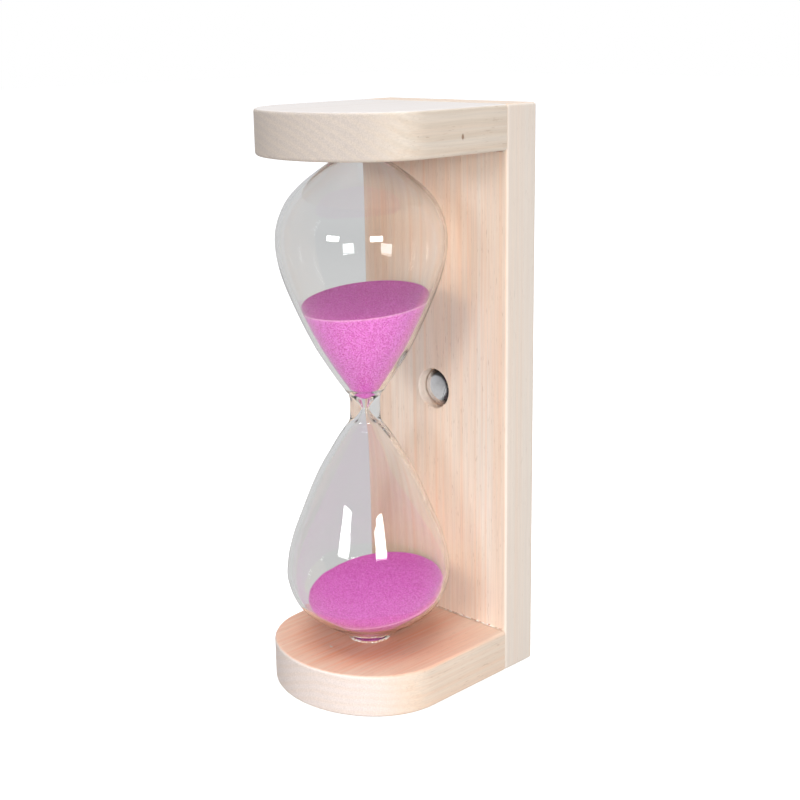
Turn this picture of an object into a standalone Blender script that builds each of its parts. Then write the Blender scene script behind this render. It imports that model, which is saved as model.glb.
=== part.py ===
"""Wall sand timer: a wooden frame that turns on one wall screw and holds a blown sand glass.

Metres, +Z up. The origin lies on the axis of the glass, level with the underside of the bottom shelf.
The board stands at +Y, the rounded fronts of the shelves point to -Y.
"""
import math

import bmesh
import bpy
from mathutils import Matrix, Vector

# ---- wooden frame -------------------------------------------------------------------------------
HEIGHT = 0.240              # overall height, standing on the bottom shelf
WIDTH = 0.082               # board and shelves
STOCK = 0.018               # planed thickness of the board and of both shelves
SHELF_DEPTH = 0.080         # how far a shelf stands out in front of the board
SHELF_STRAIGHT = 0.045      # straight part of a shelf's side, before the rounded front
SHELF_FRONT_STEPS = 32      # facets round the front of a shelf
EDGE_ROUNDING = 0.0012      # eased edges of the wood
BOARD_FRONT = 0.041         # Y of the board's front face; the glass axis is at Y = 0
BOARD_BACK = BOARD_FRONT + STOCK
MID_HEIGHT = HEIGHT / 2
NECK_HEIGHT = 0.119         # neck of the glass, and the pivot screw behind it
GAP = 0.0003                # clearance between pieces that touch
OVERSHOOT = 0.002           # how far a cutter stands out of the face it opens

# ---- sand glass ---------------------------------------------------------------------------------
# Outer profile of each bulb: (distance from the neck, radius); the last point is the flat end's rim.
UPPER_BULB = (
    (0.0, 0.0063), (0.0050, 0.0065), (0.0080, 0.0084), (0.0125, 0.0115), (0.0180, 0.0150),
    (0.0250, 0.0192), (0.0330, 0.0232), (0.0420, 0.0272), (0.0510, 0.0308), (0.0590, 0.0332),
    (0.0665, 0.0343), (0.0735, 0.0340), (0.0800, 0.0320), (0.0860, 0.0286), (0.0915, 0.0233),
    (0.0960, 0.0175), (0.0993, 0.0127), (0.1014, 0.0092), (0.1030, 0.0075), (0.1043, 0.0071),
    (0.1052, 0.0062),
)
LOWER_BULB = (
    (0.0, 0.0063), (0.0050, 0.0065), (0.0080, 0.0084), (0.0125, 0.0115), (0.0180, 0.0148),
    (0.0250, 0.0189), (0.0330, 0.0227), (0.0420, 0.0264), (0.0490, 0.02905), (0.0530, 0.03065),
    (0.0560, 0.03155), (0.0600, 0.0326), (0.0660, 0.0341), (0.0725, 0.0343), (0.0785, 0.0328),
    (0.0840, 0.0300), (0.0890, 0.0250), (0.0935, 0.0185), (0.0970, 0.0130), (0.0991, 0.0094),
    (0.1006, 0.0076), (0.1020, 0.0071), (0.1032, 0.0062),
)
# Wall thickness: (distance from the neck, thickness). The wall is drawn thick at the neck.
WALL = (
    (0.0, 0.0054), (0.0020, 0.0046), (0.0040, 0.0034), (0.0055, 0.0023), (0.0080, 0.0020),
    (0.0300, 0.0018), (0.0600, 0.0014), (0.2000, 0.0014),
)
SAMPLES_PER_SPAN = 2        # rows of facets between two profile points
GLASS_STEPS = 28            # facets round the glass
CAVITY_CORNER = 0.0010      # how much the cavity narrows at its closed end
FILL_HOLE_RADIUS = 0.0018   # hole in the upper end, through which the sand is filled
PLUG_LENGTH = 0.0028
PLUG_PROUD = 0.0004         # plug's head above the glass
PLUG_TAPER = 0.0003

# ---- sand ---------------------------------------------------------------------------------------
UPPER_SAND_LEVEL = 0.1633   # height of the surface on the axis
UPPER_SAND_TILT = 7.0       # degrees, rising towards the board
UPPER_SAND_BOTTOM = 0.0044  # lowest grain, above the neck
SAND_FOOT_ROUNDING = 0.0004
LOWER_SAND_LEVEL = 0.0375
LOWER_SAND_TILT = 13.0

# ---- pockets and glue ---------------------------------------------------------------------------
POCKET_RADIUS = 0.0090
POCKET_DEPTH = 0.0030
GLUE_OUTER_RADIUS = POCKET_RADIUS - GAP
GLUE_INNER_RADIUS = 0.0080
GLUE_FOOT_RADIUS = 0.0075   # inner radius at the pocket's floor
GLUE_PROUD = 0.0005         # height of the bead above the shelf's face
GLUE_ROUNDING = 0.0002

# ---- shelf screws (countersunk, driven from the rear) ---------------------------------------------
SHELF_SCREW_X = 0.022
SHELF_SCREW_LENGTH = 0.045
SHELF_SCREW_RADIUS = 0.0020
SHELF_SCREW_HEAD = 0.0039
SHELF_THREAD_SHARE = 0.6    # threaded part of the length
SHELF_SCREW_SUNK = 0.0002   # face of the head below the board's rear face

# ---- pivot: a wall screw in a counterbore, with a cup washer, a snap-on cap and a rear spacer -------
COUNTERBORE_RADIUS = 0.0086
COUNTERBORE_DEPTH = 0.0054
COUNTERBORE_CHAMFER = 0.0004
PIVOT_SCREW_LENGTH = 0.045
PIVOT_SCREW_RADIUS = 0.00225
PIVOT_SCREW_HEAD = 0.0042
PIVOT_THREAD_SHARE = 0.60
PIVOT_HEAD_FRONT = 0.0019   # screw head's face, above the counterbore's floor
CUP_RADIUS = 0.0064
CUP_FRONT = 0.0016
CUP_CLEARANCE = 0.00044     # between the cup's cone and the screw's head
CAP_RADIUS = 0.0078
CAP_HEIGHT = 0.0034         # crown of the cap, above the counterbore's floor
CAP_WALL = 0.0006
CAP_RIM = 0.0010            # level where the dome turns into the straight rim
CAP_LIFT = 0.0004           # lower edge of the rim
SPACER_RADIUS = 0.0100
SPACER_THICKNESS = 0.0015
EDGE_BREAK = 0.0002         # chamfer on washers
ROUND_STEPS = 24

# ---- screw details ------------------------------------------------------------------------------
SCREW_STEPS = 12            # facets round a head, a shank and each turn of a thread
HEAD_EDGE = 0.0003          # straight rim of a countersunk head
THREAD_PITCH = 0.0023
THREAD_DEPTH = 0.0006
SHANK_SHARE = 0.9           # shank radius, as a share of the thread's radius
SCREW_CLEARANCE = 0.00036   # hole round a screw
RECESS_SPAN = 1.2           # cross recess across its arms, as a share of the head's radius
RECESS_ARM = 0.12           # half width of an arm, as a share of that span
RECESS_DEPTH = 0.5          # depth, as a share of the head's radius
RECESS_TAPER = 0.5          # size at the recess's floor


# ---- helpers ------------------------------------------------------------------------------------
def clear_scene():
    for obj in list(bpy.data.objects):
        bpy.data.objects.remove(obj, do_unlink=True)


def finish_material(name, colour, roughness, metallic=0.0, transmission=0.0):
    mat = bpy.data.materials.new(name)
    mat.use_nodes = True
    mat.diffuse_color = (*colour, 1.0)
    shader = mat.node_tree.nodes["Principled BSDF"]
    shader.inputs["Base Color"].default_value = (*colour, 1.0)
    shader.inputs["Roughness"].default_value = roughness
    shader.inputs["Metallic"].default_value = metallic
    shader.inputs["Transmission Weight"].default_value = transmission
    return mat


def add_object(name, bm, mat=None):
    """Turns a bmesh into an object with outward faces, shaded smooth up to its sharp edges."""
    bmesh.ops.recalc_face_normals(bm, faces=bm.faces)
    mesh = bpy.data.meshes.new(name)
    bm.to_mesh(mesh)
    bm.free()
    mesh.shade_smooth()
    mesh.set_sharp_from_angle(angle=math.radians(35))
    if mat is not None:
        mesh.materials.append(mat)
    obj = bpy.data.objects.new(name, mesh)
    bpy.context.collection.objects.link(obj)
    return obj


def turned(profile, steps, closed=False):
    """A bmesh turned about Z from (radius, z) points; a closed profile makes a ring."""
    bm = bmesh.new()
    verts = [bm.verts.new((radius, 0.0, z)) for radius, z in profile]
    edges = [bm.edges.new(pair) for pair in zip(verts, verts[1:])]
    if closed:
        edges.append(bm.edges.new((verts[-1], verts[0])))
    bmesh.ops.spin(
        bm, geom=verts + edges, cent=(0, 0, 0), axis=(0, 0, 1), angle=math.tau, steps=steps, use_merge=True
    )
    bmesh.ops.remove_doubles(bm, verts=bm.verts, dist=1e-6)
    return bm


def boolean(target, other, operation):
    modifier = target.modifiers.new(other.name, "BOOLEAN")
    modifier.operation = operation
    modifier.solver = "EXACT"
    modifier.object = other
    other.hide_render = True
    other.display_type = "WIRE"


# ---- wooden frame -------------------------------------------------------------------------------
def make_board(mat):
    bm = bmesh.new()
    bmesh.ops.create_cube(bm, size=1.0)
    bmesh.ops.scale(bm, vec=(WIDTH, STOCK, HEIGHT), verts=bm.verts)
    bmesh.ops.bevel(
        bm, geom=bm.edges[:], offset=EDGE_ROUNDING, segments=2, profile=0.5, affect="EDGES"
    )
    bmesh.ops.translate(bm, vec=(0, BOARD_FRONT + STOCK / 2, MID_HEIGHT), verts=bm.verts)
    return add_object("back_board", bm, mat)


def shelf_outline():
    """Rear left, rear right, then round the half-elliptic front."""
    rear = BOARD_FRONT - GAP
    shoulder = BOARD_FRONT - SHELF_STRAIGHT
    nose = SHELF_DEPTH - SHELF_STRAIGHT
    points = [(-WIDTH / 2, rear), (WIDTH / 2, rear)]
    for step in range(SHELF_FRONT_STEPS + 1):
        angle = math.pi * step / SHELF_FRONT_STEPS
        points.append((WIDTH / 2 * math.cos(angle), shoulder - nose * math.sin(angle)))
    return points


def make_shelf(name, bottom, mat):
    bm = bmesh.new()
    face = bm.faces.new([bm.verts.new((x, y, bottom)) for x, y in shelf_outline()])
    raised = bmesh.ops.extrude_face_region(bm, geom=[face])
    raised_verts = [item for item in raised["geom"] if isinstance(item, bmesh.types.BMVert)]
    bmesh.ops.translate(bm, vec=(0, 0, STOCK), verts=raised_verts)
    rear = BOARD_FRONT - GAP

    def is_rim(edge):
        level = abs(edge.verts[0].co.z - edge.verts[1].co.z) < 1e-6
        at_rear = all(abs(vert.co.y - rear) < 1e-6 for vert in edge.verts)
        return level and not at_rear

    rim = [edge for edge in bm.edges if is_rim(edge)]
    bmesh.ops.bevel(bm, geom=rim, offset=EDGE_ROUNDING, segments=2, profile=0.5, affect="EDGES")
    return add_object(name, bm, mat)


# ---- sand glass ---------------------------------------------------------------------------------
def smooth_curve(points, samples):
    """A Catmull-Rom curve through the points, which leaves the first point straight along the axis."""
    first = Vector((-points[1][0], points[1][1]))
    knots = [first] + [Vector(point) for point in points]
    knots.append(knots[-1] * 2 - knots[-2])
    curve = []
    for a, b, c, d in zip(knots, knots[1:], knots[2:], knots[3:]):
        bend = 2 * a - 5 * b + 4 * c - d
        twist = 3 * b - a - 3 * c + d
        for step in range(samples):
            t = step / samples
            curve.append(b + ((c - a) * t + bend * t**2 + twist * t**3) / 2)
    curve.append(knots[-2])
    return curve


def wall_at(height):
    for (low, thick), (high, thin) in zip(WALL, WALL[1:]):
        if height <= high:
            share = (height - low) / (high - low)
            return thick + (thin - thick) * share
    return WALL[-1][1]


def bulb_outer(bulb):
    return smooth_curve(bulb[:-1], SAMPLES_PER_SPAN) + [Vector(bulb[-1])]


def bulb_inner(bulb, extra=0.0):
    """The cavity of one bulb as (height, radius), set in by the wall and by an extra clearance."""
    outer = smooth_curve(bulb[:-1], SAMPLES_PER_SPAN)
    inner = []
    for index, point in enumerate(outer):
        before = outer[max(index - 1, 0)]
        after = outer[min(index + 1, len(outer) - 1)]
        along = (after - before).normalized()
        if index == 0:
            along = Vector((1, 0))
        inward = Vector((along.y, -along.x))
        inner.append(point + inward * (wall_at(point.x) + extra))
    closed_end = bulb[-1][0]
    end = closed_end - wall_at(closed_end) - extra
    inner = [point for point in inner if point.x < end - GAP]
    inner.append(Vector((end, inner[-1].y - CAVITY_CORNER)))
    return inner


def make_glass(mat):
    """One blown piece: outside from the lower end up, over the fill hole, and back down the inside."""
    upper_end = NECK_HEIGHT + UPPER_BULB[-1][0]
    upper_inner = bulb_inner(UPPER_BULB)
    lower_inner = bulb_inner(LOWER_BULB)
    profile = [(0.0, NECK_HEIGHT - LOWER_BULB[-1][0])]
    profile += [(p.y, NECK_HEIGHT - p.x) for p in reversed(bulb_outer(LOWER_BULB))]
    profile += [(p.y, NECK_HEIGHT + p.x) for p in bulb_outer(UPPER_BULB)[1:]]
    profile += [(FILL_HOLE_RADIUS, upper_end), (FILL_HOLE_RADIUS, NECK_HEIGHT + upper_inner[-1].x)]
    profile += [(p.y, NECK_HEIGHT + p.x) for p in reversed(upper_inner)]
    profile += [(p.y, NECK_HEIGHT - p.x) for p in lower_inner[1:]]
    profile.append((0.0, NECK_HEIGHT - lower_inner[-1].x))
    return add_object("hourglass_glass", turned(profile, GLASS_STEPS), mat)


def make_plug(mat):
    """Tapered stopper in the fill hole, its head just clear of the pocket's floor."""
    radius = FILL_HOLE_RADIUS - GAP
    top = NECK_HEIGHT + UPPER_BULB[-1][0] + PLUG_PROUD
    foot = top - PLUG_LENGTH
    profile = [(0.0, foot), (radius - PLUG_TAPER, foot), (radius, foot + PLUG_TAPER * 2)]
    profile += [(radius, top - PLUG_TAPER), (radius - PLUG_TAPER, top), (0.0, top)]
    return add_object("filling_plug", turned(profile, ROUND_STEPS), mat)


def level_off(bm, height, tilt):
    """Cuts sand off at a plane through the axis at this height, tilted so that it rises towards the board."""
    angle = math.radians(tilt)
    normal = Vector((0, -math.sin(angle), math.cos(angle)))
    everything = bm.verts[:] + bm.edges[:] + bm.faces[:]
    cut = bmesh.ops.bisect_plane(
        bm, geom=everything, plane_co=(0, 0, height), plane_no=normal, clear_outer=True
    )
    rim = [item for item in cut["geom_cut"] if isinstance(item, bmesh.types.BMEdge)]
    bmesh.ops.contextual_create(bm, geom=rim)


def make_upper_sand(mat):
    foot = UPPER_SAND_BOTTOM + SAND_FOOT_ROUNDING
    cavity = [point for point in bulb_inner(UPPER_BULB, GAP) if point.x > foot + SAND_FOOT_ROUNDING]
    foot_radius = cavity[0].y - SAND_FOOT_ROUNDING * 2
    profile = [(0.0, NECK_HEIGHT + UPPER_SAND_BOTTOM), (foot_radius, NECK_HEIGHT + foot)]
    profile += [(p.y, NECK_HEIGHT + p.x) for p in cavity]
    profile.append((0.0, profile[-1][1]))
    bm = turned(profile, GLASS_STEPS)
    level_off(bm, UPPER_SAND_LEVEL, UPPER_SAND_TILT)
    return add_object("upper_sand", bm, mat)


def make_lower_sand(mat):
    cavity = list(reversed(bulb_inner(LOWER_BULB, GAP)))
    profile = [(0.0, NECK_HEIGHT - cavity[0].x)] + [(p.y, NECK_HEIGHT - p.x) for p in cavity]
    profile.append((0.0, profile[-1][1]))
    bm = turned(profile, GLASS_STEPS)
    level_off(bm, LOWER_SAND_LEVEL, LOWER_SAND_TILT)
    return add_object("lower_sand", bm, mat)


def make_glue_ring(name, face_height, into_shelf, mat):
    """A bead of glue between the glass stem and its pocket; into_shelf is +1 for the top shelf, else -1."""
    crest = face_height - into_shelf * GLUE_PROUD
    floor = face_height + into_shelf * (POCKET_DEPTH - GAP)
    profile = [
        (GLUE_INNER_RADIUS, crest), (GLUE_OUTER_RADIUS - GLUE_ROUNDING, crest),
        (GLUE_OUTER_RADIUS, crest + into_shelf * GLUE_ROUNDING), (GLUE_OUTER_RADIUS, floor),
        (GLUE_FOOT_RADIUS, floor),
    ]
    return add_object(name, turned(profile, ROUND_STEPS, closed=True), mat)


# ---- screws -------------------------------------------------------------------------------------
def screw_skin(outline, crest, core, turns, tip):
    """Rings for the head and shank, then a helical V thread and a point, as one closed skin along -Z."""
    bm = bmesh.new()

    def spoke(step, radius, z):
        angle = math.tau * step / SCREW_STEPS
        return bm.verts.new((radius * math.cos(angle), -radius * math.sin(angle), z))

    rings = [[spoke(step, radius, z) for step in range(SCREW_STEPS)] for radius, z in outline]
    bm.faces.new(rings[0])
    for upper, lower in zip(rings, rings[1:]):
        for step in range(SCREW_STEPS):
            after = (step + 1) % SCREW_STEPS
            bm.faces.new((upper[step], upper[after], lower[after], lower[step]))

    last = turns * SCREW_STEPS
    top = outline[-1][1] - THREAD_DEPTH
    drop = THREAD_PITCH / SCREW_STEPS
    roots = [spoke(step, core, top - drop * step) for step in range(last + SCREW_STEPS + 1)]
    crests = [spoke(step, crest, top - drop * step - THREAD_PITCH / 2) for step in range(last + 1)]
    for step in range(SCREW_STEPS):
        after = (step + 1) % SCREW_STEPS
        bm.faces.new((rings[-1][step], rings[-1][after], roots[step + 1], roots[step]))
    bm.faces.new((rings[-1][0], roots[0], crests[0], roots[SCREW_STEPS]))
    for k in range(last):
        below = k + SCREW_STEPS
        bm.faces.new((roots[k], roots[k + 1], crests[k + 1], crests[k]))
        bm.faces.new((crests[k], crests[k + 1], roots[below + 1], roots[below]))
    point = bm.verts.new((0, 0, tip))
    for k in range(last, last + SCREW_STEPS):
        bm.faces.new((roots[k], roots[k + 1], point))
    bm.faces.new((point, roots[last], crests[last], roots[-1]))
    return bm


def cross_recess(name, head_radius):
    """Cutter for a tapered cross recess, centred on the head's face at z = 0."""
    span = head_radius * RECESS_SPAN
    depth = head_radius * RECESS_DEPTH
    arm = span / 2
    half = span * RECESS_ARM
    bm = bmesh.new()
    corners = []
    for quarter in range(4):
        turn = Matrix.Rotation(math.radians(90 * quarter), 3, "Z")
        corners += [turn @ Vector(corner) for corner in ((arm, -half, 0), (arm, half, 0), (half, half, 0))]
    face = bm.faces.new([bm.verts.new(corner + Vector((0, 0, depth))) for corner in corners])
    deep = bmesh.ops.extrude_face_region(bm, geom=[face])
    deep_verts = [item for item in deep["geom"] if isinstance(item, bmesh.types.BMVert)]
    bmesh.ops.scale(bm, vec=(RECESS_TAPER, RECESS_TAPER, 1), verts=deep_verts)
    bmesh.ops.translate(bm, vec=(0, 0, -2 * depth), verts=deep_verts)
    return add_object(name, bm)


def make_screw(name, radius, head_radius, length, thread_share, mat):
    """Countersunk cross-head wood screw along -Z, the face of its head at z = 0."""
    core = radius - THREAD_DEPTH
    shank = radius * SHANK_SHARE
    neck = HEAD_EDGE + head_radius - shank
    thread_top = length * (1 - thread_share)
    outline = [(head_radius, 0.0), (head_radius, -HEAD_EDGE), (shank, -neck), (shank, -thread_top)]
    turns = int((length * thread_share - 2 * radius) / THREAD_PITCH) - 1
    screw = add_object(name, screw_skin(outline, radius, core, turns, -length), mat)
    recess = cross_recess(name + "_recess_form", head_radius)
    recess.parent = screw
    boolean(screw, recess, "DIFFERENCE")
    return screw


def screw_hole(name, radius, head_radius, length):
    """Cutter for a screw: the screw's own outline, larger by the clearance, opening beyond z = 0."""
    cone = head_radius + SCREW_CLEARANCE
    shank = radius + SCREW_CLEARANCE
    end = -length - SCREW_CLEARANCE
    profile = [(0.0, OVERSHOOT), (cone, OVERSHOOT), (cone, -HEAD_EDGE), (shank, -HEAD_EDGE - cone + shank)]
    profile += [(shank, end), (0.0, end)]
    return add_object(name, turned(profile, ROUND_STEPS))


def make_shelf_screws(board, shelves, mat):
    """Two screws through the board's rear into each shelf."""
    size = (SHELF_SCREW_RADIUS, SHELF_SCREW_HEAD, SHELF_SCREW_LENGTH)
    number = 0
    for shelf, level in shelves:
        for side in (-1, 1):
            number += 1
            place = (side * SHELF_SCREW_X, BOARD_BACK - SHELF_SCREW_SUNK, level)
            screw = make_screw(f"shelf_screw_{number}", *size, SHELF_THREAD_SHARE, mat)
            hole = screw_hole(f"shelf_screw_hole_{number}", *size)
            for piece in (screw, hole):
                piece.rotation_euler = (math.radians(-90), 0, 0)
                piece.location = place
            boolean(board, hole, "DIFFERENCE")
            boolean(shelf, hole, "DIFFERENCE")


# ---- pivot --------------------------------------------------------------------------------------
def make_pivot(board, steel, plating, nylon):
    """The fixing that stays on the wall; its local z = 0 is the counterbore's floor."""
    axle = bpy.data.objects.new("pivot_axis", None)
    axle.location = (0, BOARD_FRONT + COUNTERBORE_DEPTH, NECK_HEIGHT)
    axle.rotation_euler = (math.radians(90), 0, 0)
    bpy.context.collection.objects.link(axle)

    size = (PIVOT_SCREW_RADIUS, PIVOT_SCREW_HEAD, PIVOT_SCREW_LENGTH)
    screw = make_screw("pivot_screw", *size, PIVOT_THREAD_SHARE, steel)
    hole = screw_hole("pivot_hole", *size)
    for piece in (screw, hole):
        piece.location = (0, 0, PIVOT_HEAD_FRONT)
    counterbore = counterbore_form()
    boolean(board, counterbore, "DIFFERENCE")
    boolean(board, hole, "DIFFERENCE")
    for piece in (screw, hole, counterbore, make_cup(plating), make_cap(plating), make_spacer(nylon)):
        piece.parent = axle


def counterbore_form():
    """Cutter for the sunk seat of the cap, with a chamfered mouth."""
    mouth = COUNTERBORE_RADIUS + COUNTERBORE_CHAMFER
    above = COUNTERBORE_DEPTH + OVERSHOOT
    profile = [(0.0, 0.0), (COUNTERBORE_RADIUS, 0.0)]
    profile += [(COUNTERBORE_RADIUS, COUNTERBORE_DEPTH - COUNTERBORE_CHAMFER), (mouth, COUNTERBORE_DEPTH)]
    profile += [(mouth, above), (0.0, above)]
    return add_object("counterbore_form", turned(profile, ROUND_STEPS * 2))


def make_cup(mat):
    """Washer with a cone for the screw head; the cap snaps over its rim."""
    cone_front = PIVOT_SCREW_HEAD + CUP_CLEARANCE
    cone_rear = cone_front - (CUP_FRONT - GAP)
    profile = [(cone_rear, GAP), (CUP_RADIUS - EDGE_BREAK, GAP), (CUP_RADIUS, GAP + EDGE_BREAK)]
    profile += [(CUP_RADIUS, CUP_FRONT - EDGE_BREAK), (CUP_RADIUS - EDGE_BREAK, CUP_FRONT)]
    profile.append((cone_front, CUP_FRONT))
    return add_object("pivot_cap_base", turned(profile, ROUND_STEPS, closed=True), mat)


def crown(radius, height, steps):
    """Quarter-ellipse dome from the crown on the axis down to the rim, as (radius, z)."""
    points = []
    for step in range(steps + 1):
        angle = math.pi / 2 * step / steps
        points.append((radius * math.sin(angle), CAP_RIM + (height - CAP_RIM) * math.cos(angle)))
    return points


def make_cap(mat):
    """Domed cap, open towards the board."""
    inner_radius = CAP_RADIUS - CAP_WALL
    outside = crown(CAP_RADIUS, CAP_HEIGHT, 6)
    inside = crown(inner_radius, CAP_HEIGHT - CAP_WALL, 4)
    lip = [(CAP_RADIUS, CAP_LIFT), (inner_radius, CAP_LIFT)]
    return add_object("pivot_cap", turned(outside + lip + inside[::-1], ROUND_STEPS), mat)


def make_spacer(mat):
    """Washer between the board and the wall."""
    front = COUNTERBORE_DEPTH - STOCK - GAP
    rear = front - SPACER_THICKNESS
    bore = PIVOT_SCREW_RADIUS + SCREW_CLEARANCE
    profile = [(bore, front), (SPACER_RADIUS - EDGE_BREAK, front), (SPACER_RADIUS, front - EDGE_BREAK)]
    profile += [(SPACER_RADIUS, rear + EDGE_BREAK), (SPACER_RADIUS - EDGE_BREAK, rear), (bore, rear)]
    return add_object("rear_spacer", turned(profile, ROUND_STEPS, closed=True), mat)


def cut_pocket(shelf, name, face_height, into_shelf):
    """Round pocket in a shelf's inner face for one end of the glass."""
    mouth = face_height - into_shelf * OVERSHOOT
    floor = face_height + into_shelf * POCKET_DEPTH
    profile = [(0.0, mouth), (POCKET_RADIUS, mouth), (POCKET_RADIUS, floor), (0.0, floor)]
    boolean(shelf, add_object(name, turned(profile, ROUND_STEPS)), "DIFFERENCE")


def main():
    clear_scene()
    board_wood = finish_material("board_wood", (0.86, 0.66, 0.47), 0.6)
    shelf_wood = finish_material("shelf_wood", (0.84, 0.68, 0.50), 0.6)
    glass = finish_material("glass", (0.95, 0.97, 0.97), 0.02, transmission=1.0)
    sand = finish_material("sand", (0.75, 0.19, 0.55), 0.9)
    glue = finish_material("glue", (0.85, 0.78, 0.72), 0.4)
    stopper = finish_material("stopper", (0.80, 0.78, 0.74), 0.5)
    zinc = finish_material("zinc_steel", (0.62, 0.60, 0.55), 0.35, metallic=1.0)
    chrome = finish_material("chrome", (0.80, 0.80, 0.82), 0.06, metallic=1.0)
    nylon = finish_material("nylon", (0.86, 0.85, 0.82), 0.5)

    board = make_board(board_wood)
    bottom_shelf = make_shelf("bottom_shelf", 0.0, shelf_wood)
    top_shelf = make_shelf("top_shelf", HEIGHT - STOCK, shelf_wood)
    cut_pocket(bottom_shelf, "lower_pocket", STOCK, -1)
    cut_pocket(top_shelf, "upper_pocket", HEIGHT - STOCK, 1)
    make_shelf_screws(board, ((bottom_shelf, STOCK / 2), (top_shelf, HEIGHT - STOCK / 2)), zinc)

    make_glass(glass)
    make_plug(stopper)
    make_upper_sand(sand)
    make_lower_sand(sand)
    make_glue_ring("lower_glue_ring", STOCK, -1, glue)
    make_glue_ring("upper_glue_ring", HEIGHT - STOCK, 1, glue)

    make_pivot(board, zinc, chrome, nylon)


main()
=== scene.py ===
"""Looks of the wall sand timer: pale wood, a blown sand glass with pink sand, and a chromed screw cap.

Metres, +Z up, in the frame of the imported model: the glass stands on the Z axis, the board at +Y.
"""
import math

import bmesh
import bpy
from mathutils import Matrix, Vector, noise


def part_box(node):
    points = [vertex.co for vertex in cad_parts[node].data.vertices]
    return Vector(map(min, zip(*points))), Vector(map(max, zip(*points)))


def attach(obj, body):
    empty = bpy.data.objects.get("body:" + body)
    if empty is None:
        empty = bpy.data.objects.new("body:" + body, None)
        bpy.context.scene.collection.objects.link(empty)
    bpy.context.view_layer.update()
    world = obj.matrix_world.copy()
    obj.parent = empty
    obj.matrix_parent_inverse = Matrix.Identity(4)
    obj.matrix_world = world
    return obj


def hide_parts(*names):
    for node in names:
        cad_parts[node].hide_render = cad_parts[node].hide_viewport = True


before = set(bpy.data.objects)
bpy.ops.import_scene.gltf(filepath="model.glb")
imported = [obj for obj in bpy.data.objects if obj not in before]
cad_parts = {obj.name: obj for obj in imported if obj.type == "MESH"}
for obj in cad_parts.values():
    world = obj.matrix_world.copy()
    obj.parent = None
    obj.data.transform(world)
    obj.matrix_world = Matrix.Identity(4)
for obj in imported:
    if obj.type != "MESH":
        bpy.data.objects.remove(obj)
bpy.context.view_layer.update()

# ---- sizes taken from the frame -------------------------------------------------------------------
BOARD_LOW, BOARD_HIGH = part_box("back_board")
SHELF_LOW, SHELF_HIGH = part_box("bottom_shelf")
TOP_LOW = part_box("top_shelf")[0]
CAP_LOW, CAP_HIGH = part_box("pivot_cap")
CUP_LOW, CUP_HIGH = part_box("pivot_cap_base")
SPACER_LOW, SPACER_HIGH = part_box("rear_spacer")
PIVOT_LOW, PIVOT_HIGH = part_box("pivot_screw")
SCREW_LOW, SCREW_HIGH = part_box("shelf_screw_1")
PLUG_LOW, PLUG_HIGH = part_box("filling_plug")

HALF_WIDTH = BOARD_HIGH.x
HEIGHT = BOARD_HIGH.z
STOCK = BOARD_HIGH.y - BOARD_LOW.y
BOARD_FRONT = BOARD_LOW.y
MID_HEIGHT = HEIGHT / 2
NECK_HEIGHT = (CAP_LOW.z + CAP_HIGH.z) / 2
SHELF_NOSE = -SHELF_LOW.y           # front of a shelf, ahead of the glass axis
LOWER_FACE = SHELF_HIGH.z           # upper face of the bottom shelf
UPPER_FACE = TOP_LOW.z              # underside of the top shelf

# ---- sizes of the object that its boxes don't give --------------------------------------------------
SHELF_STRAIGHT = 0.045              # straight part of a shelf's side
RING_SPACING = 0.0034               # growth rings
GAP = 0.0003                        # clearance between solids
SAME_PLACE = 1e-6                   # less than this counts as no distance
EDGE_ROUNDING = 0.0012
OVERSHOOT = 0.002
POCKET_RADIUS = 0.0090
POCKET_DEPTH = 0.0030
COUNTERBORE_RADIUS = 0.0086
COUNTERBORE_DEPTH = 0.0054
COUNTERBORE_CHAMFER = 0.0004
SEAT = BOARD_FRONT + COUNTERBORE_DEPTH      # Y of the counterbore's floor
SCREW_CLEARANCE = 0.00036
HEAD_EDGE = 0.0003
THREAD_PITCH = 0.0023
THREAD_DEPTH = 0.0006
SHANK_SHARE = 0.9
SHELF_SCREW = {"radius": 0.0020, "head": 0.0039, "length": SCREW_HIGH.y - SCREW_LOW.y, "thread": 0.60}
PIVOT_SCREW = {"radius": 0.00225, "head": 0.0042, "length": PIVOT_HIGH.y - PIVOT_LOW.y, "thread": 0.60}
CONE_CLEARANCE = 0.00044            # between the pivot screw's head and its cup washer
CAP_WALL = 0.0006
CAP_RIM = 0.0010                    # level where the cap's dome turns into its straight rim
EDGE_BREAK = 0.0002

# Outer profile of each bulb: (distance from the neck, radius); the last point is the flat end's rim.
UPPER_BULB = (
    (0.0, 0.0063), (0.0050, 0.0065), (0.0080, 0.0084), (0.0125, 0.0115), (0.0180, 0.0150),
    (0.0250, 0.0192), (0.0330, 0.0232), (0.0420, 0.0272), (0.0510, 0.0308), (0.0590, 0.0332),
    (0.0665, 0.0343), (0.0735, 0.0340), (0.0800, 0.0320), (0.0860, 0.0286), (0.0915, 0.0233),
    (0.0960, 0.0175), (0.0993, 0.0127), (0.1014, 0.0092), (0.1030, 0.0075), (0.1043, 0.0071),
    (0.1052, 0.0062),
)
LOWER_BULB = (
    (0.0, 0.0063), (0.0050, 0.0065), (0.0080, 0.0084), (0.0125, 0.0115), (0.0180, 0.0148),
    (0.0250, 0.0189), (0.0330, 0.0227), (0.0420, 0.0264), (0.0490, 0.0292), (0.0540, 0.0311),
    (0.0590, 0.03255), (0.0630, 0.0335), (0.0680, 0.0342), (0.0725, 0.0343), (0.0785, 0.0328),
    (0.0840, 0.0300), (0.0890, 0.0250), (0.0935, 0.0185), (0.0970, 0.0130), (0.0991, 0.0094),
    (0.1006, 0.0076), (0.1020, 0.0071), (0.1032, 0.0062),
)
WALL = (
    (0.0, 0.0054), (0.0020, 0.0046), (0.0040, 0.0034), (0.0055, 0.0023), (0.0080, 0.0020),
    (0.0300, 0.0018), (0.0600, 0.0014), (0.2000, 0.0014),
)
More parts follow.
